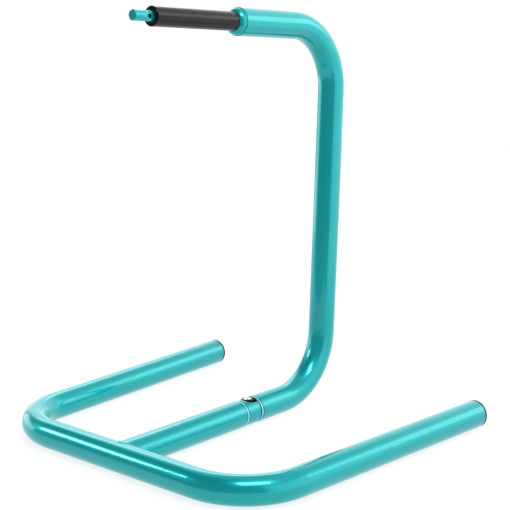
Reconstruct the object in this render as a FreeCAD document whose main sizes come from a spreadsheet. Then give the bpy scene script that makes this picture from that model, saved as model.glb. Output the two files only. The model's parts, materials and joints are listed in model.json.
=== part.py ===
import FreeCAD, Part
import math
import os
import Sketcher

# A small folding stand of bent round tube. A U-shaped base lies on the floor, a short
# spine runs back from its middle, and the upright swivels about the spine. The arm at
# the top ends in a sleeved peg with a hinged tip.
# Frame: +X runs along the spine from the cross run to the upright, +Z is up, and the
# origin is on the floor below the middle of the whole stand.

DIMENSIONS = {
    # Tube stock and its bends
    "tube_outer": 25.4,
    "tube_wall": 2.0,
    "bend_radius": 60.0,
    # Base
    "cross_x": -143.0,
    "base_half_width": 144.5,
    "leg_splay": 3.9,
    "leg_length": 295.9,
    "weld_size": 1.6,
    "weld_floor": 2.0,
    # Leg plugs
    "plug_head": 2.6,
    "plug_edge": 0.4,
    "plug_skin": 1.5,
    "plug_dish_radius": 9.6,
    "plug_dish_depth": 0.6,
    "plug_gate_radius": 1.4,
    "plug_gate_height": 0.3,
    "plug_depth": 16.0,
    "plug_rib": 0.5,
    "plug_rib_width": 2.0,
    "plug_wall": 2.0,
    # Swivel, by stations along the spine
    "ring_width": 2.6,
    "ring_groove": 0.45,
    "ring_groove_depth": 0.6,
    "ring_edge": 0.2,
    "ring_crown": 0.15,
    "base_ring_x": 6.4,
    "collar_end_x": 25.5,
    "collar_radius": 12.4,
    "collar_edge": 0.4,
    "spigot_end_x": -18.0,
    "pin_radius": 7.0,
    "running_gap": 0.05,
    "washer_width": 0.9,
    "washer_radius": 12.0,
    "pin_plug_end_x": 52.0,
    "pin_tip_x": -20.2,
    "pin_neck_radius": 5.0,
    "pin_neck_width": 6.0,
    # Swivel retaining hardware
    "disc_spring_wall": 0.8,
    "disc_spring_rise": 1.2,
    "disc_spring_radius": 10.0,
    "retainer_width": 1.5,
    "screw_radius": 3.0,
    "screw_depth": 14.0,
    "screw_head_radius": 5.0,
    "screw_head_width": 5.0,
    "screw_socket_radius": 2.5,
    "screw_socket_depth": 2.5,
    # Release button, by radii from the swivel axis
    "button_x": 19.6,
    "recess_radius": 7.3,
    "recess_floor": 8.3,
    "bezel_radius": 5.6,
    "bezel_top": 11.5,
    "bezel_rim_top": 12.4,
    "bezel_rim_wall": 1.1,
    "button_radius": 3.75,
    "button_wall": 0.65,
    "button_skirt": 10.2,
    "button_crown": 11.7,
    "button_shoulder": 12.5,
    "button_top": 13.0,
    "button_flat": 1.6,
    "stem_radius": 1.5,
    "stem_end": 7.3,
    "spring_radius": 2.5,
    "spring_wire": 0.4,
    "spring_turns": 4.0,
    # Upright and arm
    "spine_corner_x": 128.2,
    "upright_lean": 2.74,
    "upright_height": 352.6,
    "arm_length": 137.4,
    # Arm boss and peg
    "boss_lip": 0.8,
    "boss_step": 0.6,
    "boss_step_run": 0.3,
    "boss_shoulder_at": 4.9,
    "boss_round": 6.2,
    "boss_length": 6.8,
    "boss_nose_radius": 8.8,
    "boss_depth": 18.0,
    "core_radius": 6.35,
    "core_recess": 1.2,
    "sleeve_radius": 8.45,
    "sleeve_edge": 0.5,
    "sleeve_lip": 1.0,
    "sleeve_mouth": 4.9,
    "peg_length": 105.8,
    # Hinged tip
    "pivot_reach": 5.1,
    "tip_radius": 4.55,
    "tip_length": 16.0,
    "tip_edge": 0.7,
    "tip_flat": 4.0,
    "spot_face_radius": 4.7,
    "eye_bevel": 0.7,
    "slot_half": 1.8,
    "slot_depth": 4.7,
    "tongue_half": 1.5,
    "tongue_radius": 4.0,
    "overlap": 1.0,
    "pivot_radius": 2.1,
    "pivot_half_length": 3.9,
    "pivot_bevel": 0.3,
    "pivot_socket_radius": 1.6,
    "pivot_socket_depth": 1.6,
    "shim_wall": 0.22,
    "shim_radius": 3.6,
}

doc = FreeCAD.newDocument("bike_stand")
sheet = doc.addObject("Spreadsheet::Sheet", "Params")
for row, (alias, number) in enumerate(DIMENSIONS.items(), start=1):
    sheet.set("A%d" % row, alias)
    sheet.set("B%d" % row, str(number))
    sheet.setAlias("B%d" % row, alias)
doc.recompute()


class Dim:
    """A dimension: its value now, and the spreadsheet expression that drives it."""

    def __init__(self, value, text):
        self.value = value
        self.text = text

    def __add__(self, other):
        other = as_dim(other)
        return Dim(self.value + other.value, "(%s + %s)" % (self.text, other.text))

    def __sub__(self, other):
        other = as_dim(other)
        return Dim(self.value - other.value, "(%s - %s)" % (self.text, other.text))

    def __mul__(self, other):
        other = as_dim(other)
        return Dim(self.value * other.value, "(%s * %s)" % (self.text, other.text))

    def __truediv__(self, other):
        other = as_dim(other)
        return Dim(self.value / other.value, "(%s / %s)" % (self.text, other.text))

    def __neg__(self):
        return Dim(-self.value, "(0 - %s)" % self.text)


def as_dim(number):
    return number if isinstance(number, Dim) else Dim(float(number), "(%r)" % float(number))


def dim(alias):
    return Dim(float(DIMENSIONS[alias]), "Params." + alias)


def sine(angle):
    return Dim(math.sin(math.radians(angle.value)), "sin(%s)" % angle.text)


def cosine(angle):
    return Dim(math.cos(math.radians(angle.value)), "cos(%s)" % angle.text)


def tangent(angle):
    return Dim(math.tan(math.radians(angle.value)), "tan(%s)" % angle.text)


ZERO = as_dim(0)
bodies = []


def new_body(label):
    body = doc.addObject("PartDesign::Body", label)
    body.Label = label
    bodies.append(body)
    return body


def place(body, position, turn_axis=None, turn=None):
    """Put a body in the stand's frame, every number bound to the spreadsheet."""
    for letter, length in zip("xyz", position):
        body.setExpression("Placement.Base." + letter, as_dim(length).text)
    if turn_axis is not None:
        axis = FreeCAD.Vector(*turn_axis)
        body.Placement.Rotation = FreeCAD.Rotation(axis, turn.value)
        body.setExpression("Placement.Rotation.Angle", turn.text)


def origin_plane(body, role):
    for feature in body.Origin.OriginFeatures:
        if feature.Role == role:
            return feature
    raise ValueError("no origin feature " + role)


def new_sketch(body, name, role, offset=None):
    sketch = body.newObject("Sketcher::SketchObject", name)
    sketch.AttachmentSupport = [(origin_plane(body, role), "")]
    sketch.MapMode = "FlatFace"
    if offset is not None:
        sketch.setExpression("AttachmentOffset.Base.z", offset.text)
    return sketch


def bind(sketch, kind, *references, to):
    """Add a dimensional constraint and drive it from the spreadsheet."""
    index = sketch.addConstraint(Sketcher.Constraint(kind, *references, to.value))
    sketch.setExpression("Constraints[%d]" % index, to.text)


def bind_point(sketch, geometry, end, across, up):
    """Fix one point of a sketch at two coordinates."""
    bind(sketch, "DistanceX", -1, 1, geometry, end, to=across)
    bind(sketch, "DistanceY", -1, 1, geometry, end, to=up)


def vector(across, up):
    return FreeCAD.Vector(across.value, up.value, 0)


def draw_polygon(sketch, points):
    """A closed outline through points given as pairs of dimensions."""
    points = [(as_dim(across), as_dim(up)) for across, up in points]
    count = len(points)
    for index in range(count):
        start = vector(*points[index])
        end = vector(*points[(index + 1) % count])
        sketch.addGeometry(Part.LineSegment(start, end), False)
    for index in range(count):
        follower = (index + 1) % count
        sketch.addConstraint(Sketcher.Constraint("Coincident", index, 2, follower, 1))
    for index, (across, up) in enumerate(points):
        bind_point(sketch, index, 1, across, up)


def draw_circle(sketch, across, up, radius):
    normal = FreeCAD.Vector(0, 0, 1)
    index = sketch.addGeometry(Part.Circle(vector(across, up), normal, radius.value), False)
    bind(sketch, "Radius", index, to=radius)
    bind_point(sketch, index, 3, across, up)


def revolve(body, name, points, role="X_Axis"):
    """Turn a profile in the XZ plane a full turn about an origin axis."""
    sketch = new_sketch(body, name + "_profile", "XZ_Plane")
    draw_polygon(sketch, points)
    turned = body.newObject("PartDesign::Revolution", name)
    turned.Profile = sketch
    turned.ReferenceAxis = (origin_plane(body, role), [""])
    turned.Angle = 360
    return turned


def round_rim(body, name, turned, along, rim_radius, fillet_radius):
    """Round the circular edge of a turned shape at one place along its X axis."""
    doc.recompute()
    for index, edge in enumerate(turned.Shape.Edges):
        curve = edge.Curve
        if not isinstance(curve, Part.Circle):
            continue
        if abs(curve.Center.x - along.value) < 1e-6 and abs(curve.Radius - rim_radius.value) < 1e-6:
            rounded = body.newObject("PartDesign::Fillet", name)
            rounded.Base = (turned, ["Edge%d" % (index + 1)])
            rounded.setExpression("Radius", fillet_radius.text)
            return rounded
    raise ValueError("no rim for " + name)


def pad(body, name, sketch, length, symmetric=False, backwards=False):
    padded = body.newObject("PartDesign::Pad", name)
    padded.Profile = sketch
    padded.setExpression("Length", length.text)
    if symmetric:
        padded.SideType = "Symmetric"
    padded.Reversed = backwards
    return padded


def pocket(body, name, sketch, length, symmetric=False, backwards=False):
    """Cut a sketch into the body, and make sure that it removes material."""
    doc.recompute()
    before = body.Shape.Volume
    cut = body.newObject("PartDesign::Pocket", name)
    cut.Profile = sketch
    cut.setExpression("Length", length.text)
    if symmetric:
        cut.SideType = "Symmetric"
    cut.Reversed = backwards
    doc.recompute()
    if body.Shape.Volume >= before - 1e-6:
        raise ValueError(name + " cuts nothing")
    return cut


def sweep(body, name, profile, path):
    pipe = body.newObject("PartDesign::AdditivePipe", name)
    pipe.Profile = profile
    edges = ["Edge%d" % (index + 1) for index in range(len(path.Geometry))]
    pipe.Spine = (path, edges)
    return pipe


tube_radius = dim("tube_outer") / 2
bore_radius = tube_radius - dim("tube_wall")
axis_height = tube_radius
bend = dim("bend_radius")
splay = dim("leg_splay")
lean = dim("upright_lean")
cross_x = dim("cross_x")

# ---------------------------------------------------------------- base tube
# One half of the U is swept from the middle of the cross run, then mirrored.
leg_end_x = cross_x + dim("leg_length") * cosine(splay)
leg_end_y = dim("base_half_width") + dim("leg_length") * sine(splay)
leg_turn = as_dim(90) - splay
leg_cut_back = bend * tangent(leg_turn / 2)

base_tube = new_body("base_tube")
place(base_tube, (ZERO, ZERO, axis_height))
base_path = new_sketch(base_tube, "base_path", "XY_Plane")
bend_start_y = dim("base_half_width") - leg_cut_back
bend_end_x = cross_x + leg_cut_back * cosine(splay)
bend_end_y = dim("base_half_width") + leg_cut_back * sine(splay)
base_path.addGeometry(Part.LineSegment(vector(cross_x, ZERO), vector(cross_x, bend_start_y)), False)
base_circle = Part.Circle(vector(cross_x + bend, bend_start_y), FreeCAD.Vector(0, 0, 1), bend.value)
base_arc = Part.ArcOfCircle(base_circle, math.radians(90 + splay.value), math.pi)
base_path.addGeometry(base_arc, False)
base_path.addGeometry(Part.LineSegment(vector(bend_end_x, bend_end_y), vector(leg_end_x, leg_end_y)), False)
base_path.addConstraint(Sketcher.Constraint("Tangent", 0, 2, 1, 2))
base_path.addConstraint(Sketcher.Constraint("Tangent", 1, 1, 2, 1))
base_path.addConstraint(Sketcher.Constraint("Vertical", 0))
bind_point(base_path, 0, 1, cross_x, ZERO)
bind(base_path, "Radius", 1, to=bend)
bind(base_path, "DistanceX", -1, 1, 2, 1, to=bend_end_x)
bind_point(base_path, 2, 2, leg_end_x, leg_end_y)

base_section = new_sketch(base_tube, "base_section", "XZ_Plane")
draw_circle(base_section, cross_x, ZERO, tube_radius)
draw_circle(base_section, cross_x, ZERO, bore_radius)
base_half = sweep(base_tube, "base_half", base_section, base_path)
doc.recompute()
base_mirror = base_tube.newObject("PartDesign::Mirrored", "base_mirror")
base_mirror.Originals = [base_half]
base_mirror.MirrorPlane = (origin_plane(base_tube, "XZ_Plane"), [""])
base_tube.Tip = base_mirror

# ---------------------------------------------------------------- spine tube
# The spine's front end is coped to fit the cross run.
spine_tube = new_body("spine_tube")
place(spine_tube, (ZERO, ZERO, axis_height))
spine_section = new_sketch(spine_tube, "spine_section", "YZ_Plane", cross_x)
draw_circle(spine_section, ZERO, ZERO, tube_radius)
draw_circle(spine_section, ZERO, ZERO, bore_radius)
pad(spine_tube, "spine_run", spine_section, dim("base_ring_x") - cross_x)
cope_section = new_sketch(spine_tube, "cope_section", "XZ_Plane")
draw_circle(cope_section, cross_x, ZERO, tube_radius)
pocket(spine_tube, "cope", cope_section, dim("tube_outer") * 2, symmetric=True)

# ---------------------------------------------------------------- spine weld
# The bead fills the corner around the joint of the two equal tubes, clear of the floor.
bead_radius = tube_radius + dim("weld_size")


def round_bar(name, radius, length, along):
    """A plain cylinder through the joint, along the spine or along the cross run."""
    bar = doc.addObject("Part::Cylinder", name)
    bar.setExpression("Radius", radius.text)
    bar.setExpression("Height", length.text)
    bar.setExpression("Placement.Base.z", axis_height.text)
    bar.setExpression("Placement.Base.x", cross_x.text)
    if along == "spine":
        bar.Placement.Rotation = FreeCAD.Rotation(FreeCAD.Vector(0, 1, 0), 90)
    else:
        bar.Placement.Rotation = FreeCAD.Rotation(FreeCAD.Vector(1, 0, 0), 90)
        bar.setExpression("Placement.Base.y", (length / 2).text)
    return bar


bar_length = dim("tube_outer") * 2
bead_across = round_bar("bead_across", bead_radius, bar_length, "cross")
bead_along = round_bar("bead_along", bead_radius, bar_length, "spine")
tubes_across = round_bar("tubes_across", tube_radius, bar_length, "cross")
tubes_along = round_bar("tubes_along", tube_radius, bar_length, "spine")
bead_common = doc.addObject("Part::MultiCommon", "bead_common")
bead_common.Shapes = [bead_across, bead_along]
bead_outside = doc.addObject("Part::Cut", "bead_outside")
bead_outside.Base = bead_common
bead_outside.Tool = tubes_across
bead_ring = doc.addObject("Part::Cut", "bead_ring")
bead_ring.Base = bead_outside
bead_ring.Tool = tubes_along
above_floor = doc.addObject("Part::Box", "above_floor")
above_floor.setExpression("Length", bar_length.text)
above_floor.setExpression("Width", bar_length.text)
above_floor.setExpression("Height", bar_length.text)
above_floor.setExpression("Placement.Base.x", cross_x.text)
above_floor.setExpression("Placement.Base.y", (-bar_length / 2).text)
above_floor.setExpression("Placement.Base.z", dim("weld_floor").text)
spine_weld = doc.addObject("Part::Common", "spine_weld")
spine_weld.Base = bead_ring
spine_weld.Tool = above_floor
spine_weld.Label = "spine_weld"
bodies.append(spine_weld)

# ---------------------------------------------------------------- leg plugs
plug_radius = bore_radius
plug_core = bore_radius - dim("plug_rib")
plug_dish = dim("plug_head") - dim("plug_dish_depth")
plug_points = [
    (-dim("plug_depth"), plug_core - dim("plug_wall")),
    (-dim("plug_depth"), plug_core),
    (-dim("plug_depth") / 2 - dim("plug_rib_width"), plug_core),
    (-dim("plug_depth") / 2, plug_radius),
    (-dim("plug_depth") / 2 + dim("plug_rib_width"), plug_core),
    (-dim("plug_rib_width"), plug_core),
    (-dim("plug_rib_width"), plug_radius),
    (ZERO, plug_radius),
    (ZERO, tube_radius),
    (dim("plug_head") - dim("plug_edge"), tube_radius),
    (dim("plug_head"), tube_radius - dim("plug_edge")),
    (dim("plug_head"), dim("plug_dish_radius")),
    (plug_dish, dim("plug_dish_radius") - dim("plug_dish_depth")),
    (plug_dish, dim("plug_gate_radius")),
    (plug_dish + dim("plug_gate_height"), dim("plug_gate_radius")),
    (plug_dish + dim("plug_gate_height"), ZERO),
    (-dim("plug_skin"), ZERO),
    (-dim("plug_skin"), plug_core - dim("plug_wall")),
]
for label, side in (("leg_plug_left", 1), ("leg_plug_right", -1)):
    plug = new_body(label)
    revolve(plug, label + "_turned", plug_points)
    place(plug, (leg_end_x, leg_end_y * side, axis_height), (0, 0, 1), splay * side)


# ---------------------------------------------------------------- edge rings
def edge_ring(label, start):
    """A narrow crowned band, with a groove on each side, that finishes a tube's end."""
    end = start + dim("ring_width")
    middle = start + dim("ring_width") / 2
    groove = dim("ring_groove")
    groove_floor = tube_radius - dim("ring_groove_depth")
    shoulder = tube_radius - dim("ring_crown")
    ring = new_body(label)
    revolve(ring, label + "_turned", [
        (start, bore_radius),
        (start, groove_floor),
        (start + groove, groove_floor),
        (start + groove + dim("ring_edge"), shoulder),
        (middle, tube_radius),
        (end - groove - dim("ring_edge"), shoulder),
        (end - groove, groove_floor),
        (end, groove_floor),
        (end, bore_radius),
    ])
    place(ring, (ZERO, ZERO, axis_height))
    return end


collar_start = edge_ring("base_ring", dim("base_ring_x"))
upright_ring_x = dim("collar_end_x") + dim("washer_width")
upright_start = edge_ring("upright_ring", upright_ring_x)

# ---------------------------------------------------------------- swivel collar
collar_bore = dim("pin_radius") + dim("running_gap")
swivel_collar = new_body("swivel_collar")
place(swivel_collar, (ZERO, ZERO, axis_height))
revolve(swivel_collar, "collar_turned", [
    (dim("spigot_end_x"), collar_bore),
    (dim("spigot_end_x"), bore_radius),
    (collar_start, bore_radius),
    (collar_start, dim("collar_radius") - dim("collar_edge")),
    (collar_start + dim("collar_edge"), dim("collar_radius")),
    (dim("collar_end_x") - dim("collar_edge"), dim("collar_radius")),
    (dim("collar_end_x"), dim("collar_radius") - dim("collar_edge")),
    (dim("collar_end_x"), collar_bore),
])
recess_outline = new_sketch(swivel_collar, "recess_outline", "XY_Plane", dim("recess_floor"))
draw_circle(recess_outline, dim("button_x"), ZERO, dim("recess_radius"))
pocket(swivel_collar, "recess", recess_outline, tube_radius, backwards=True)
notch_outline = new_sketch(swivel_collar, "notch_outline", "XY_Plane", dim("recess_floor"))
notch_end = dim("collar_end_x") + dim("washer_width")
draw_polygon(notch_outline, [
    (dim("button_x"), -dim("recess_radius")),
    (notch_end, -dim("recess_radius")),
    (notch_end, dim("recess_radius")),
    (dim("button_x"), dim("recess_radius")),
])
pocket(swivel_collar, "notch", notch_outline, tube_radius, backwards=True)
stem_outline = new_sketch(swivel_collar, "stem_outline", "XY_Plane")
stem_bore = dim("stem_radius") + dim("running_gap")
draw_circle(stem_outline, dim("button_x"), ZERO, stem_bore)
pocket(swivel_collar, "stem_bore", stem_outline, tube_radius, backwards=True)

# ---------------------------------------------------------------- thrust washer
thrust_washer = new_body("thrust_washer")
revolve(thrust_washer, "thrust_turned", [
    (dim("collar_end_x"), collar_bore),
    (dim("collar_end_x"), dim("washer_radius")),
    (upright_ring_x, dim("washer_radius")),
    (upright_ring_x, collar_bore),
])
place(thrust_washer, (ZERO, ZERO, axis_height))

# ---------------------------------------------------------------- release button
button_bore = dim("button_radius") + dim("running_gap")
bezel_rim = button_bore + dim("bezel_rim_wall")
button_bezel = new_body("button_bezel")
revolve(button_bezel, "bezel_turned", [
    (button_bore, dim("recess_floor")),
    (dim("bezel_radius"), dim("recess_floor")),
    (dim("bezel_radius"), dim("bezel_top")),
    (bezel_rim, dim("bezel_top")),
    (bezel_rim, dim("bezel_rim_top")),
    (button_bore, dim("bezel_rim_top")),
], "Z_Axis")
place(button_bezel, (dim("button_x"), ZERO, axis_height))

button_spring = new_body("button_spring")
spring_height = dim("button_crown") - dim("recess_floor") - dim("spring_wire")
wire_outline = new_sketch(button_spring, "wire_outline", "XZ_Plane")
wire_radius = dim("spring_wire") / 2
draw_circle(wire_outline, dim("spring_radius"), dim("recess_floor") + wire_radius, wire_radius)
coil = button_spring.newObject("PartDesign::AdditiveHelix", "coil")
coil.Profile = wire_outline
coil.ReferenceAxis = (origin_plane(button_spring, "Z_Axis"), [""])
coil.Mode = 0
coil.setExpression("Height", spring_height.text)
coil.setExpression("Pitch", (spring_height / dim("spring_turns")).text)
place(button_spring, (dim("button_x"), ZERO, axis_height))

snap_button = new_body("snap_button")
revolve(snap_button, "button_turned", [
    (ZERO, dim("stem_end")),
    (dim("stem_radius"), dim("stem_end")),
    (dim("stem_radius"), dim("button_crown")),
    (dim("button_radius") - dim("button_wall"), dim("button_crown")),
    (dim("button_radius") - dim("button_wall"), dim("button_skirt")),
    (dim("button_radius"), dim("button_skirt")),
    (dim("button_radius"), dim("button_shoulder")),
    (dim("button_flat"), dim("button_top")),
    (ZERO, dim("button_top")),
], "Z_Axis")
place(snap_button, (dim("button_x"), ZERO, axis_height))

# ---------------------------------------------------------------- upright tube
# The path starts at the swivel, bends up, leans back a little, and bends over the base.
corner_turn = as_dim(90) - lean
lower_cut = bend * tangent(corner_turn / 2)
corner_x = dim("spine_corner_x")
height = dim("upright_height")
arm = dim("arm_length")
top_x = corner_x + height * sine(lean)
top_z = axis_height + height * cosine(lean)
arm_end_x = top_x - arm * cosine(lean)
arm_end_z = top_z + arm * sine(lean)
lower_start_x = corner_x - lower_cut
lower_end_x = corner_x + lower_cut * sine(lean)
lower_end_z = axis_height + lower_cut * cosine(lean)
upper_start_x = top_x - bend * sine(lean)
upper_start_z = top_z - bend * cosine(lean)
upper_end_x = top_x - bend * cosine(lean)
upper_end_z = top_z + bend * sine(lean)
upper_centre_x = upper_end_x - bend * sine(lean)
upper_centre_z = upper_end_z - bend * cosine(lean)

upright_tube = new_body("upright_tube")
upright_path = new_sketch(upright_tube, "upright_path", "XZ_Plane")
flat_normal = FreeCAD.Vector(0, 0, 1)
lower_circle = Part.Circle(vector(lower_start_x, axis_height + bend), flat_normal, bend.value)
upper_circle = Part.Circle(vector(upper_centre_x, upper_centre_z), flat_normal, bend.value)
tilt = math.radians(lean.value)
upright_path.addGeometry(
    Part.LineSegment(vector(upright_start, axis_height), vector(lower_start_x, axis_height)), False)
upright_path.addGeometry(Part.ArcOfCircle(lower_circle, -math.pi / 2, -tilt), False)
upright_path.addGeometry(
    Part.LineSegment(vector(lower_end_x, lower_end_z), vector(upper_start_x, upper_start_z)), False)
upright_path.addGeometry(Part.ArcOfCircle(upper_circle, -tilt, math.pi / 2 - tilt), False)
upright_path.addGeometry(
    Part.LineSegment(vector(upper_end_x, upper_end_z), vector(arm_end_x, arm_end_z)), False)
upright_path.addConstraint(Sketcher.Constraint("Tangent", 0, 2, 1, 1))
upright_path.addConstraint(Sketcher.Constraint("Tangent", 1, 2, 2, 1))
upright_path.addConstraint(Sketcher.Constraint("Tangent", 2, 2, 3, 1))
upright_path.addConstraint(Sketcher.Constraint("Tangent", 3, 2, 4, 1))
upright_path.addConstraint(Sketcher.Constraint("Horizontal", 0))
upright_path.addConstraint(Sketcher.Constraint("Perpendicular", 2, 4))
bind_point(upright_path, 0, 1, upright_start, axis_height)
bind(upright_path, "Radius", 1, to=bend)
bind(upright_path, "Radius", 3, to=bend)
bind(upright_path, "DistanceX", -1, 1, 0, 2, to=lower_start_x)
bind_point(upright_path, 4, 2, arm_end_x, arm_end_z)
upright_section = new_sketch(upright_tube, "upright_section", "YZ_Plane", upright_start)
draw_circle(upright_section, ZERO, axis_height, tube_radius)
draw_circle(upright_section, ZERO, axis_height, bore_radius)
sweep(upright_tube, "upright_sweep", upright_section, upright_path)

# ---------------------------------------------------------------- swivel pin
neck_start = dim("button_x") - dim("pin_neck_width") / 2
neck_end = dim("button_x") + dim("pin_neck_width") / 2
tapped_end = dim("pin_tip_x") + dim("screw_depth")
swivel_pin = new_body("swivel_pin")
revolve(swivel_pin, "pin_turned", [
    (dim("pin_tip_x"), dim("screw_radius")),
    (dim("pin_tip_x"), dim("pin_radius")),
    (neck_start, dim("pin_radius")),
    (neck_start, dim("pin_neck_radius")),
    (neck_end, dim("pin_neck_radius")),
    (neck_end, dim("pin_radius")),
    (upright_ring_x, dim("pin_radius")),
    (upright_ring_x, bore_radius),
    (dim("pin_plug_end_x"), bore_radius),
    (dim("pin_plug_end_x"), ZERO),
    (tapped_end, ZERO),
    (tapped_end, dim("screw_radius")),
])
place(swivel_pin, (ZERO, ZERO, axis_height))

# ---------------------------------------------------------------- retaining hardware
# A disc spring and a washer are drawn against the collar's spigot by the end screw.
disc_outer_x = dim("spigot_end_x")
disc_inner_x = disc_outer_x - dim("disc_spring_rise")
disc_bore = dim("pin_radius") + dim("running_gap")
spring_washer = new_body("spring_washer")
revolve(spring_washer, "disc_turned", [
    (disc_inner_x - dim("disc_spring_wall"), disc_bore),
    (disc_inner_x, disc_bore),
    (disc_outer_x, dim("disc_spring_radius")),
    (disc_outer_x - dim("disc_spring_wall"), dim("disc_spring_radius")),
])
place(spring_washer, (ZERO, ZERO, axis_height))

retainer_x = dim("pin_tip_x") - dim("retainer_width")
retaining_washer = new_body("retaining_washer")
revolve(retaining_washer, "retainer_turned", [
    (retainer_x, dim("screw_radius") + dim("running_gap")),
    (retainer_x, dim("disc_spring_radius")),
    (dim("pin_tip_x"), dim("disc_spring_radius")),
    (dim("pin_tip_x"), dim("screw_radius") + dim("running_gap")),
])
place(retaining_washer, (ZERO, ZERO, axis_height))

screw_end_x = retainer_x - dim("screw_head_width")
retaining_screw = new_body("retaining_screw")
revolve(retaining_screw, "screw_turned", [
    (screw_end_x, dim("screw_socket_radius")),
    (screw_end_x, dim("screw_head_radius")),
    (retainer_x, dim("screw_head_radius")),
    (retainer_x, dim("screw_radius")),
    (tapped_end, dim("screw_radius")),
    (tapped_end, ZERO),
    (screw_end_x + dim("screw_socket_depth"), ZERO),
    (screw_end_x + dim("screw_socket_depth"), dim("screw_socket_radius")),
])
place(retaining_screw, (ZERO, ZERO, axis_height))

# ---------------------------------------------------------------- arm boss and peg
# These parts are drawn from the arm's end face, running out towards -X.
arm_end = (arm_end_x, ZERO, arm_end_z)
boss_rim = tube_radius - dim("boss_step")
arm_boss = new_body("arm_boss")
boss_turned = revolve(arm_boss, "boss_turned", [
    (dim("boss_depth"), dim("core_radius")),
    (dim("boss_depth"), bore_radius),
    (ZERO, bore_radius),
    (ZERO, tube_radius),
    (-dim("boss_lip"), tube_radius),
    (-dim("boss_lip") - dim("boss_step_run"), boss_rim),
    (-dim("boss_shoulder_at"), boss_rim),
    (-dim("boss_length"), dim("boss_nose_radius")),
    (-dim("boss_length"), dim("core_radius")),
])
round_rim(arm_boss, "boss_dome", boss_turned, -dim("boss_shoulder_at"), boss_rim, dim("boss_round"))
place(arm_boss, arm_end, (0, 1, 0), lean)

core_end_x = dim("core_recess") - dim("peg_length")
pivot_x = -dim("peg_length") - dim("pivot_reach")
peg_core = new_body("peg_core")
place(peg_core, arm_end, (0, 1, 0), lean)
revolve(peg_core, "core_turned", [
    (dim("boss_depth"), ZERO),
    (dim("boss_depth"), dim("core_radius")),
    (core_end_x, dim("core_radius")),
    (core_end_x, ZERO),
])
tongue_outline = new_sketch(peg_core, "tongue_outline", "XZ_Plane")
draw_polygon(tongue_outline, [
    (pivot_x, -dim("tongue_radius")),
    (pivot_x, dim("tongue_radius")),
    (core_end_x + dim("overlap"), dim("tongue_radius")),
    (core_end_x + dim("overlap"), -dim("tongue_radius")),
])
pad(peg_core, "tongue", tongue_outline, dim("tongue_half") * 2, symmetric=True)
eye_outline = new_sketch(peg_core, "eye_outline", "XZ_Plane")
draw_circle(eye_outline, pivot_x, ZERO, dim("tongue_radius"))
pad(peg_core, "tongue_eye", eye_outline, dim("tongue_half") * 2, symmetric=True)
pivot_outline = new_sketch(peg_core, "pivot_outline", "XZ_Plane")
draw_circle(pivot_outline, pivot_x, ZERO, dim("pivot_radius") + dim("running_gap"))
pocket(peg_core, "pivot_bore", pivot_outline, dim("tube_outer"), symmetric=True)

peg_sleeve = new_body("peg_sleeve")
revolve(peg_sleeve, "sleeve_turned", [
    (-dim("boss_length"), dim("core_radius")),
    (-dim("boss_length"), dim("sleeve_radius")),
    (dim("sleeve_edge") - dim("peg_length"), dim("sleeve_radius")),
    (-dim("peg_length"), dim("sleeve_radius") - dim("sleeve_edge")),
    (-dim("peg_length"), dim("sleeve_mouth")),
    (dim("sleeve_lip") - dim("peg_length"), dim("sleeve_mouth")),
    (dim("sleeve_lip") - dim("peg_length"), dim("core_radius")),
])
place(peg_sleeve, arm_end, (0, 1, 0), lean)

# ---------------------------------------------------------------- hinged tip
# The tip's own origin is on its pivot.
pivot_reach = dim("peg_length") + dim("pivot_reach")
pivot = (
    arm_end_x - pivot_reach * cosine(lean),
    ZERO,
    arm_end_z + pivot_reach * sine(lean),
)
hinge_tip = new_body("hinge_tip")
place(hinge_tip, pivot, (0, 1, 0), lean)
revolve(hinge_tip, "tip_turned", [
    (ZERO, ZERO),
    (ZERO, dim("tip_radius")),
    (dim("tip_edge") - dim("tip_length"), dim("tip_radius")),
    (-dim("tip_length"), dim("tip_radius") - dim("tip_edge")),
    (-dim("tip_length"), ZERO),
])
for name, backwards in (("near_spot_face", False), ("far_spot_face", True)):
    face_at = -dim("tip_flat") if backwards else dim("tip_flat")
    spot_outline = new_sketch(hinge_tip, name + "_outline", "XZ_Plane", face_at)
    draw_circle(spot_outline, ZERO, ZERO, dim("spot_face_radius"))
    pocket(hinge_tip, name, spot_outline, dim("tip_radius"), backwards=not backwards)
eye_edge = dim("tip_flat") - dim("eye_bevel")
eye_profile = new_sketch(hinge_tip, "eye_profile", "XY_Plane")
draw_polygon(eye_profile, [
    (ZERO, -dim("tip_flat")),
    (dim("tip_radius") - dim("eye_bevel"), -dim("tip_flat")),
    (dim("tip_radius"), -eye_edge),
    (dim("tip_radius"), eye_edge),
    (dim("tip_radius") - dim("eye_bevel"), dim("tip_flat")),
    (ZERO, dim("tip_flat")),
])
tip_eye = hinge_tip.newObject("PartDesign::Revolution", "tip_eye")
tip_eye.Profile = eye_profile
tip_eye.ReferenceAxis = (origin_plane(hinge_tip, "Y_Axis"), [""])
tip_eye.Angle = 360
slot_outline = new_sketch(hinge_tip, "slot_outline", "XY_Plane")
draw_polygon(slot_outline, [
    (-dim("slot_depth"), -dim("slot_half")),
    (dim("tip_radius") + dim("overlap"), -dim("slot_half")),
    (dim("tip_radius") + dim("overlap"), dim("slot_half")),
    (-dim("slot_depth"), dim("slot_half")),
])
pocket(hinge_tip, "slot", slot_outline, dim("tube_outer"), symmetric=True)
tip_bore_outline = new_sketch(hinge_tip, "tip_bore_outline", "XZ_Plane")
draw_circle(tip_bore_outline, ZERO, ZERO, dim("pivot_radius"))
pocket(hinge_tip, "tip_bore", tip_bore_outline, dim("tube_outer"), symmetric=True)

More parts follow.
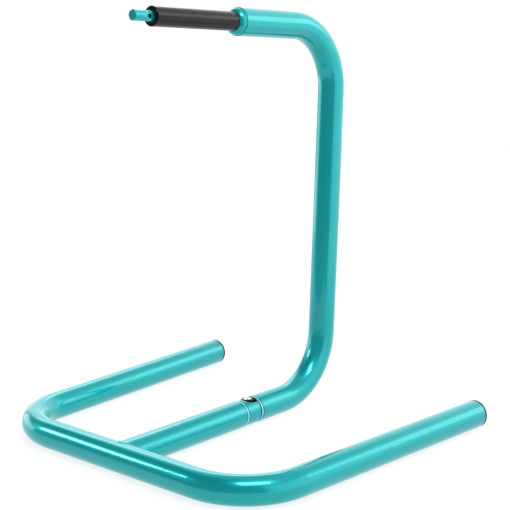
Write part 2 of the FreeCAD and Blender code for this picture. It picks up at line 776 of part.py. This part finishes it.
tip_screw = new_body("tip_screw")
place(tip_screw, pivot, (0, 1, 0), lean)
shank_profile = new_sketch(tip_screw, "shank_profile", "XY_Plane")
shank_end = dim("pivot_half_length")
draw_polygon(shank_profile, [
    (ZERO, -shank_end),
    (dim("pivot_radius") - dim("pivot_bevel"), -shank_end),
    (dim("pivot_radius"), dim("pivot_bevel") - shank_end),
    (dim("pivot_radius"), shank_end - dim("pivot_bevel")),
    (dim("pivot_radius") - dim("pivot_bevel"), shank_end),
    (ZERO, shank_end),
])
shank = tip_screw.newObject("PartDesign::Revolution", "shank")
shank.Profile = shank_profile
shank.ReferenceAxis = (origin_plane(tip_screw, "Y_Axis"), [""])
shank.Angle = 360
socket_plane = dim("pivot_half_length") - dim("pivot_socket_depth")
socket_outline = new_sketch(tip_screw, "socket_outline", "XZ_Plane", socket_plane)
hexagon = []
for corner in range(6):
    angle = as_dim(60 * corner)
    hexagon.append((dim("pivot_socket_radius") * cosine(angle), dim("pivot_socket_radius") * sine(angle)))
draw_polygon(socket_outline, hexagon)
pocket(tip_screw, "socket", socket_outline, dim("tip_flat"), backwards=True)

tip_shims = new_body("tip_shims")
place(tip_shims, pivot, (0, 1, 0), lean)
shim_start = dim("tongue_half") + (dim("slot_half") - dim("tongue_half") - dim("shim_wall")) / 2
shim_outline = new_sketch(tip_shims, "shim_outline", "XZ_Plane", shim_start)
draw_circle(shim_outline, ZERO, ZERO, dim("shim_radius"))
draw_circle(shim_outline, ZERO, ZERO, dim("pivot_radius") + dim("running_gap"))
near_shim = pad(tip_shims, "near_shim", shim_outline, dim("shim_wall"))
doc.recompute()
far_shim = tip_shims.newObject("PartDesign::Mirrored", "far_shim")
far_shim.Originals = [near_shim]
far_shim.MirrorPlane = (origin_plane(tip_shims, "XZ_Plane"), [""])
tip_shims.Tip = far_shim

doc.recompute()

# ---------------------------------------------------------------- checks and export
for item in doc.Objects:
    if "Invalid" in item.State or "Error" in item.State:
        raise ValueError("%s is in state %s" % (item.Name, item.State))
os.makedirs("parts", exist_ok=True)
for body in bodies:
    if body.Shape.isNull() or not body.Shape.isValid():
        raise ValueError(body.Label + " has no valid shape")
    body.Shape.exportStep("parts/%s.step" % body.Label)
    box = body.Shape.BoundBox
    print("%-17s solids %d volume %9.1f  x %7.1f %7.1f  y %7.1f %7.1f  z %7.1f %7.1f" % (
        body.Label, len(body.Shape.Solids), body.Shape.Volume,
        box.XMin, box.XMax, box.YMin, box.YMax, box.ZMin, box.ZMax))
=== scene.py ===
import json
import math
import bpy
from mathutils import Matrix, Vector


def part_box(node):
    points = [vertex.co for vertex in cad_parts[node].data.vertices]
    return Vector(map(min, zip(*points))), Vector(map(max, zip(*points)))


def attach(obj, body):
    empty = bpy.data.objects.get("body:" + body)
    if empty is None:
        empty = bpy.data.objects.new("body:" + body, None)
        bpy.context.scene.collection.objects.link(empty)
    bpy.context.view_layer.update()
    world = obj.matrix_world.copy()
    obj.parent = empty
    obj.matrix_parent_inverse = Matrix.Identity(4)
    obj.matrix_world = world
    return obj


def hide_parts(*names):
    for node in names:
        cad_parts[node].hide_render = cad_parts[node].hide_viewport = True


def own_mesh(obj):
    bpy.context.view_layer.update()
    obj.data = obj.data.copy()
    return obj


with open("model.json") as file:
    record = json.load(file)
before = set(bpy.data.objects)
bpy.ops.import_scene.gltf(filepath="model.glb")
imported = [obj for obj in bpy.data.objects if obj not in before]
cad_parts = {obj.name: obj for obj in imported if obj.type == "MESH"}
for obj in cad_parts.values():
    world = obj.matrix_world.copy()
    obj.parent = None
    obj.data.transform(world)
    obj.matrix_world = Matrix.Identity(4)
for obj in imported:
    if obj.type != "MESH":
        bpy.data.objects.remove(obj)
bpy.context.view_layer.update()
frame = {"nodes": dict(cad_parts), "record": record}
nodes = frame["nodes"]
scene = bpy.context.scene

# Socket numbers of the Mix node, whose sockets share their names.
MIX_FLOAT_A, MIX_FLOAT_B, MIX_FLOAT_RESULT = 2, 3, 0
MIX_FACTOR, MIX_COLOR_A, MIX_COLOR_B, MIX_COLOR_RESULT = 0, 6, 7, 2


# ------------------------------------------------------------------ node helpers
def new_material(name):
    material = bpy.data.materials.new(name)
    material.use_nodes = True
    tree = material.node_tree
    tree.nodes.clear()
    output = tree.nodes.new("ShaderNodeOutputMaterial")
    shader = tree.nodes.new("ShaderNodeBsdfPrincipled")
    tree.links.new(shader.outputs[0], output.inputs["Surface"])
    return material, tree, shader


def object_coordinates(tree):
    return tree.nodes.new("ShaderNodeTexCoord").outputs["Object"]


def noise(tree, coordinates, scale, detail=2.0, roughness=0.5):
    """Factor of a noise texture."""
    node = tree.nodes.new("ShaderNodeTexNoise")
    node.inputs["Scale"].default_value = scale
    node.inputs["Detail"].default_value = detail
    node.inputs["Roughness"].default_value = roughness
    tree.links.new(coordinates, node.inputs["Vector"])
    return node.outputs["Fac"]


def ramp(tree, factor, stops):
    """Colour ramp through (position, colour) stops."""
    node = tree.nodes.new("ShaderNodeValToRGB")
    elements = node.color_ramp.elements
    for element, (position, color) in zip(elements, stops):
        element.position = position
        element.color = (*color, 1.0)
    tree.links.new(factor, node.inputs["Fac"])
    return node.outputs["Color"]


def span(tree, factor, low, high, start=0.0, end=1.0, interpolation="LINEAR"):
    """Map start..end to low..high."""
    node = tree.nodes.new("ShaderNodeMapRange")
    node.interpolation_type = interpolation
    node.inputs["From Min"].default_value = start
    node.inputs["From Max"].default_value = end
    node.inputs["To Min"].default_value = low
    node.inputs["To Max"].default_value = high
    tree.links.new(factor, node.inputs["Value"])
    return node.outputs["Result"]


def bump(tree, shader, height, distance, strength):
    node = tree.nodes.new("ShaderNodeBump")
    node.inputs["Strength"].default_value = strength
    node.inputs["Distance"].default_value = distance
    tree.links.new(height, node.inputs["Height"])
    tree.links.new(node.outputs["Normal"], shader.inputs["Normal"])


def calculate(tree, operation, first, second):
    """A sum, product or comparison of a socket with a socket or a number."""
    node = tree.nodes.new("ShaderNodeMath")
    node.operation = operation
    tree.links.new(first, node.inputs[0])
    if isinstance(second, float):
        node.inputs[1].default_value = second
    else:
        tree.links.new(second, node.inputs[1])
    return node.outputs["Value"]


def components(tree, vector):
    node = tree.nodes.new("ShaderNodeSeparateXYZ")
    tree.links.new(vector, node.inputs[0])
    return node.outputs


# ------------------------------------------------------------------ painted shade in the grooves and beside the rings at the swivel
RING_BOXES = [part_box("base_ring"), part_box("upright_ring")]
SWIVEL_Z = (RING_BOXES[0][0][2] + RING_BOXES[0][1][2]) / 2
TUBE_RADIUS = SWIVEL_Z
GROOVE_BOTTOM_BELOW = 0.0005
GROOVE_EDGE_BELOW = 0.0002
FLANK_WIDTH = 0.0018
FLOOR_RUN_TOP = 3 * TUBE_RADIUS


def painted_groove_shade(tree, where):
    """Painted shade: 1 on the bottom of the grooves beside a ring's crown, by distance from the
    swivel's axis.
    """
    across = tree.nodes.new("ShaderNodeVectorMath")
    across.operation = "MULTIPLY_ADD"
    across.inputs[1].default_value = (0.0, 1.0, 1.0)
    across.inputs[2].default_value = (0.0, 0.0, -SWIVEL_Z)
    tree.links.new(where, across.inputs[0])
    distance = tree.nodes.new("ShaderNodeVectorMath")
    distance.operation = "LENGTH"
    tree.links.new(across.outputs["Vector"], distance.inputs[0])
    bottom, edge = TUBE_RADIUS - GROOVE_BOTTOM_BELOW, TUBE_RADIUS - GROOVE_EDGE_BELOW
    return span(tree, distance.outputs["Value"], 1.0, 0.0, bottom, edge, "SMOOTHSTEP")


def painted_flank_shade(tree, where):
    """Painted shade: 1 on the tubes right beside each ring, the shade beside the ring's edge painted
    into the colour.
    """
    place = components(tree, where)
    shades = []
    for low, high in RING_BOXES:
        offset = calculate(tree, "SUBTRACT", place["X"], (low[0] + high[0]) / 2)
        squared = calculate(tree, "MULTIPLY", offset, offset)
        edge = (high[0] - low[0]) / 2
        shades.append(span(tree, squared, 1.0, 0.0, edge ** 2, (edge + FLANK_WIDTH) ** 2, "SMOOTHSTEP"))
    beside = calculate(tree, "MAXIMUM", shades[0], shades[1])
    floor_run = calculate(tree, "LESS_THAN", place["Z"], FLOOR_RUN_TOP)
    return calculate(tree, "MULTIPLY", beside, floor_run)


# ------------------------------------------------------------------ materials
def teal_paint(name, dark, light, metallic, rough, shade=None, shade_color=None):
    """Glossy metallic turquoise under a clear coat, with fine flakes and a faint orange peel."""
    flake_scale, cloud_scale, cloud_share = 2600.0, 18.0, 0.25
    peel_scale, peel_depth, peel_strength = 420.0, 0.00002, 0.35
    rough_spread = 0.03
    material, tree, shader = new_material(name)
    where = object_coordinates(tree)
    flakes = tree.nodes.new("ShaderNodeTexVoronoi")
    flakes.inputs["Scale"].default_value = flake_scale
    tree.links.new(where, flakes.inputs["Vector"])
    clouds = noise(tree, where, cloud_scale, 3.0)
    mixed = tree.nodes.new("ShaderNodeMix")
    mixed.data_type = "FLOAT"
    mixed.inputs["Factor"].default_value = cloud_share
    tree.links.new(flakes.outputs["Distance"], mixed.inputs[MIX_FLOAT_A])
    tree.links.new(clouds, mixed.inputs[MIX_FLOAT_B])
    color = ramp(tree, mixed.outputs[MIX_FLOAT_RESULT], [(0.15, dark), (0.75, light)])
    # Painted shade: where the mask is 1, the colour is multiplied by shade_color.
    if shade is not None:
        shaded = tree.nodes.new("ShaderNodeMix")
        shaded.data_type = "RGBA"
        shaded.blend_type = "MULTIPLY"
        tree.links.new(shade(tree, where), shaded.inputs[MIX_FACTOR])
        tree.links.new(color, shaded.inputs[MIX_COLOR_A])
        shaded.inputs[MIX_COLOR_B].default_value = (*shade_color, 1.0)
        color = shaded.outputs[MIX_COLOR_RESULT]
    roughness = span(tree, clouds, rough - rough_spread, rough + rough_spread)
    tree.links.new(color, shader.inputs["Base Color"])
    tree.links.new(roughness, shader.inputs["Roughness"])
    shader.inputs["Metallic"].default_value = metallic
    shader.inputs["Coat Weight"].default_value = 1.0
    shader.inputs["Coat Roughness"].default_value = 0.015
    shader.inputs["Coat IOR"].default_value = 1.38
    shader.inputs["Specular IOR Level"].default_value = 0.12
    shader.inputs["Specular Tint"].default_value = (0.05, 0.85, 0.90, 1.0)
    bump(tree, shader, noise(tree, where, peel_scale, 1.0), peel_depth, peel_strength)
    return material


def black_plastic(name, base, rough, grain_scale, grain_depth, specular=0.24):
    """Moulded black plastic with a fine grain and patches of slightly different black."""
    patch_scale = 30.0
    darker, lighter = 0.8, 1.25
    smoother, rougher = 0.06, 0.08
    grain_strength = 0.6
    material, tree, shader = new_material(name)
    where = object_coordinates(tree)
    grain = noise(tree, where, grain_scale, 3.0, 0.6)
    color = ramp(tree, noise(tree, where, patch_scale), [
        (0.3, tuple(darker * channel for channel in base)),
        (0.7, tuple(lighter * channel for channel in base)),
    ])
    tree.links.new(color, shader.inputs["Base Color"])
    tree.links.new(span(tree, grain, rough - smoother, rough + rougher), shader.inputs["Roughness"])
    shader.inputs["Specular IOR Level"].default_value = specular
    bump(tree, shader, grain, grain_depth, grain_strength)
    return material


def metal(name, base, rough, stretch):
    """Bare or plated metal with fine lines, stretched along z."""
    line_scale = 900.0
    darker, rougher = 0.9, 1.6
    material, tree, shader = new_material(name)
    mapping = tree.nodes.new("ShaderNodeMapping")
    mapping.inputs["Scale"].default_value = (1.0, 1.0, stretch)
    tree.links.new(object_coordinates(tree), mapping.inputs["Vector"])
    lines = noise(tree, mapping.outputs["Vector"], line_scale)
    color = ramp(tree, lines, [
        (0.3, tuple(darker * channel for channel in base)),
        (0.7, base),
    ])
    tree.links.new(color, shader.inputs["Base Color"])
    tree.links.new(span(tree, lines, rough, rough * rougher), shader.inputs["Roughness"])
    shader.inputs["Metallic"].default_value = 1.0
    return material


TEAL = ((0.001, 0.318, 0.335), (0.002, 0.395, 0.412), 0.5, 0.29)
# The rings' teal is lighter than the tubes': a painted highlight standing in for the light on the
# rings' crowns.
RING_TEAL_PAINTED_HIGHLIGHT = ((0.26, 0.84, 0.82), (0.34, 0.94, 0.92), 0.6, 0.25)
SLEEVE_BLACK = (0.0020, 0.0020, 0.0016)
PLUG_BLACK = (0.020, 0.020, 0.020)
WASHER_BLACK = (0.010, 0.012, 0.012)
CHROME = (0.62, 0.62, 0.66)
ZINC = (0.55, 0.55, 0.55)
BLACK_OXIDE = (0.05, 0.05, 0.06)

LOOKS = {
    "teal_paint": teal_paint("teal_metallic_paint", *TEAL),
    "sleeve_black": black_plastic("sleeve_black_matt", SLEEVE_BLACK, 0.12, 1500.0, 0.00002, 0.27),
    "plug_black": black_plastic("plug_black_matt", PLUG_BLACK, 0.50, 900.0, 0.00004),
    "washer_black": black_plastic("washer_black_satin", WASHER_BLACK, 0.40, 900.0, 0.00002),
    "chrome": metal("button_chrome", CHROME, 0.08, 1.0),
    "steel": metal("zinc_steel", ZINC, 0.25, 0.1),
    "dark_steel": metal("black_oxide_steel", BLACK_OXIDE, 0.30, 0.1),
}
for entry in frame["record"]["subparts"]:
    mesh = nodes[entry["node"]].data
    mesh.materials.clear()
    mesh.materials.append(LOOKS[entry["material_slot"]])

# Rings: the lighter teal as a painted highlight, and painted shade on the bottoms of their grooves.
ring_paint_painted_light = teal_paint("teal_ring_paint_painted_highlight_and_shade", *RING_TEAL_PAINTED_HIGHLIGHT, painted_groove_shade, (0.05, 0.30, 0.31))
for name in ("base_ring", "upright_ring"):
    nodes[name].data.materials[0] = ring_paint_painted_light

# Spine, collar and upright: painted shade on the tubes beside the rings.
swivel_paint_painted_shade = teal_paint("teal_swivel_paint_painted_shade", *TEAL, painted_flank_shade, (0.40, 0.55, 0.57))
for name in ("spine_tube", "swivel_collar", "upright_tube"):
    nodes[name].data.materials[0] = swivel_paint_painted_shade


# ------------------------------------------------------------------ added pieces
def add_mesh(name, vertices, faces, slot, body):
    mesh = bpy.data.meshes.new(name)
    mesh.from_pydata(vertices, [], faces)
    mesh.polygons.foreach_set("use_smooth", [True] * len(mesh.polygons))
    mesh.materials.append(LOOKS[slot])
    mesh.update()
    piece = bpy.data.objects.new(name, mesh)
    scene.collection.objects.link(piece)
    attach(piece, body)
    return piece


def swept_tube(centres, radii, sides):
    """A closed tube of round sections about a line of points, with a flat cap at each end."""
    vertices = []
    count = len(centres)
    across = Vector((0, 0, 1))
    for index, (centre, radius) in enumerate(zip(centres, radii)):
        before, after = centres[max(index - 1, 0)], centres[min(index + 1, count - 1)]
        along = (after - before).normalized()
        across = (across - along * across.dot(along)).normalized()
        up = along.cross(across)
        for side in range(sides):
            angle = 2 * math.pi * side / sides
            vertices.append(centre + (across * math.cos(angle) + up * math.sin(angle)) * radius)
    faces = []
    for row in range(0, (count - 1) * sides, sides):
        for side in range(sides):
            beside = (side + 1) % sides
            faces.append((row + side, row + beside, row + sides + beside, row + sides + side))
    faces.append(tuple(range(sides - 1, -1, -1)))
    faces.append(tuple(range((count - 1) * sides, count * sides)))
    return vertices, faces


def weld_bead():
    """Overlapping ripples of weld along the seam where the spine meets the cross run."""
    steps, sides = 420, 20
    ripple_length = 0.0016
    bead_radius = 0.0021
    crest_sink = 0.0017
    apex_rounding = 0.12
    taper_share, blunt_end = 0.012, 0.05
    valley, ripple_rise = 0.94, 0.09
    low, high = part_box("spine_tube")
    tube_radius = (high[1] - low[1]) / 2
    axis_z = (low[2] + high[2]) / 2
    start = Vector((low[0], 0, axis_z))
    reach = math.acos((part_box("spine_weld")[0][2] + bead_radius - axis_z) / tube_radius)
    centres, radii = [], []
    travelled = 0.0
    for step in range(steps + 1):
        angle = reach * (2 * step / steps - 1)
        bulge = math.sqrt(math.sin(angle) ** 2 + apex_rounding ** 2)
        seam = Vector((bulge, math.sin(angle), math.cos(angle))) * tube_radius
        outward = Vector((bulge, math.sin(angle), 2 * math.cos(angle))).normalized()
        centre = start + seam - outward * crest_sink * math.cos(angle) ** 2
        if centres:
            travelled += (centre - centres[-1]).length
        ripple = (travelled / ripple_length) % 1.0
        end_distance = min(step, steps - step) / steps
        taper = math.sqrt(min(1.0, end_distance / taper_share + blunt_end))
        centres.append(centre)
        radii.append(bead_radius * taper * (valley + ripple_rise * math.sqrt(1.0 - ripple)))
    bead = add_mesh("spine_weld_bead", *swept_tube(centres, radii, sides), "teal_paint", "base")
    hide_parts("spine_weld")


def coil_spring():
    """The button's spring, as a fixed coil of wire the length of the CAD spring."""
    turns, steps_per_turn, sides = 4, 24, 8
    wire = 0.0002
    steps = steps_per_turn * turns
    low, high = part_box("button_spring")
    button_low, button_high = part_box("snap_button")
    coil_radius = (high[1] - low[1]) / 2 - wire
    middle_x = (button_low[0] + button_high[0]) / 2
    length = high[2] - low[2]
    rise = length - 2 * wire
    centres = []
    for step in range(steps + 1):
        angle = 2 * math.pi * turns * step / steps
        centres.append(Vector((
            middle_x + coil_radius * math.cos(angle),
            coil_radius * math.sin(angle),
            low[2] + wire + rise * step / steps,
        )))
    vertices, faces = swept_tube(centres, [wire] * len(centres), sides)
    spring = add_mesh("button_coil", vertices, faces, "steel", "base")
    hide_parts("button_spring")
    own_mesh(spring)


weld_bead()
coil_spring()

# ------------------------------------------------------------------ floor
FLOOR_HALF = 1.5
FLOOR_MIDDLE = (0.95, 0.90, -0.0002)
FLOOR_GLOW = 0.80

floor_look, floor_tree, floor_shader = new_material("floor_pale")
floor_tone = ramp(floor_tree, noise(floor_tree, object_coordinates(floor_tree), 3.0), [
    (0.3, (0.20, 0.20, 0.20)),
    (0.7, (0.22, 0.22, 0.22)),
])
floor_tree.links.new(floor_tone, floor_shader.inputs["Base Color"])
floor_shader.inputs["Roughness"].default_value = 0.9
floor_shader.inputs["Emission Color"].default_value = (1, 1, 1, 1)
floor_shader.inputs["Emission Strength"].default_value = FLOOR_GLOW

floor_mesh = bpy.data.meshes.new("floor")
floor_corners = [(FLOOR_HALF * x, FLOOR_HALF * y, 0) for x, y in ((-1, -1), (1, -1), (1, 1), (-1, 1))]
floor_mesh.from_pydata(floor_corners, [], [(0, 1, 2, 3)])
floor_mesh.materials.append(floor_look)
floor = bpy.data.objects.new("floor", floor_mesh)
floor.location = FLOOR_MIDDLE
scene.collection.objects.link(floor)

# ------------------------------------------------------------------ studio
# The walls are dim but for a bright backdrop behind the object, and the ceiling is dimmer still.
# The camera itself sees white.
BACKDROP_TOWARDS = Vector((0.93, -0.32, 0.10)).normalized()
BACKDROP_EDGE = (-0.10, 0.14)
WALL_GLOW, BACKDROP_GLOW = 0.32, 1.50
CEILING_EDGE = (0.60, 0.72)
CEILING_SHARE = 0.5
SEEN_GLOW = 1.05

world = bpy.data.worlds.new("studio")
scene.world = world
world.use_nodes = True
studio = world.node_tree
background = studio.nodes["Background"]
background.inputs["Color"].default_value = (1, 1, 1, 1)
direction = studio.nodes.new("ShaderNodeTexCoord").outputs["Generated"]
towards = studio.nodes.new("ShaderNodeVectorMath")
towards.operation = "DOT_PRODUCT"
towards.inputs[1].default_value = BACKDROP_TOWARDS
studio.links.new(direction, towards.inputs[0])
walls = span(studio, towards.outputs["Value"], WALL_GLOW, BACKDROP_GLOW, *BACKDROP_EDGE, "SMOOTHSTEP")
height = components(studio, direction)["Z"]
ceiling = span(studio, height, 1.0, CEILING_SHARE, *CEILING_EDGE, "SMOOTHSTEP")
strength = studio.nodes.new("ShaderNodeMix")
strength.data_type = "FLOAT"
seen = studio.nodes.new("ShaderNodeLightPath").outputs["Is Camera Ray"]
studio.links.new(seen, strength.inputs["Factor"])
studio.links.new(calculate(studio, "MULTIPLY", walls, ceiling), strength.inputs[MIX_FLOAT_A])
strength.inputs[MIX_FLOAT_B].default_value = SEEN_GLOW
studio.links.new(strength.outputs[MIX_FLOAT_RESULT], background.inputs["Strength"])

WHITE, WARM_WHITE = (1.0, 1.0, 1.0), (1.0, 0.965, 0.90)
# name: place, point aimed at, width, height, power in watts, colour
SOFTBOXES = {
    "softbox_left": ((-1.263, 1.783, 1.24), (0.257, 0.533, 0.02), 0.65, 0.50, 11.3, WHITE),
    "softbox_right": ((2.50, -1.65, 1.35), (0.1, 0.0, 0.10), 1.5, 1.2, 9.5, WARM_WHITE),
    "softbox_back": ((1.40, 2.00, 1.75), (-0.05, 0.0, 0.05), 1.8, 0.7, 7.0, WHITE),
    "softbox_side": ((-0.27, 1.30, 0.20), (-0.27, 0.0, 0.20), 0.95, 0.42, 2.2, WHITE),
    "softbox_top": ((-0.41, -0.63, 1.41), (-0.05, -0.10, 0.03), 0.85, 0.55, 10.8, WHITE),
}


def aimed_object(name, data, location, target):
    """Puts a lamp or the camera in the scene, turned to a point."""
    piece = bpy.data.objects.new(name, data)
    piece.location = location
    piece.rotation_euler = (Vector(target) - piece.location).to_track_quat("-Z", "Y").to_euler()
    scene.collection.objects.link(piece)
    return piece


for name, (location, target, width, tallness, power, color) in SOFTBOXES.items():
    light = bpy.data.lights.new(name, "AREA")
    light.shape = "RECTANGLE"
    light.size = width
    light.size_y = tallness
    light.energy = power
    light.color = color
    aimed_object(name, light, location, target)

# ------------------------------------------------------------------ camera
CAMERA_PLACE = (-0.81285, -0.73439, 0.38021)
CAMERA_TARGET = (0.007, -0.0205, 0.16634)
FOCAL_LENGTH_MM, SENSOR_WIDTH_MM = 87.4, 36.0

camera_data = bpy.data.cameras.new("camera")
camera_data.lens = FOCAL_LENGTH_MM
camera_data.sensor_width = SENSOR_WIDTH_MM
camera_data.clip_end = 100.0
scene.camera = aimed_object("camera", camera_data, CAMERA_PLACE, CAMERA_TARGET)
scene.view_settings.view_transform = "Standard"
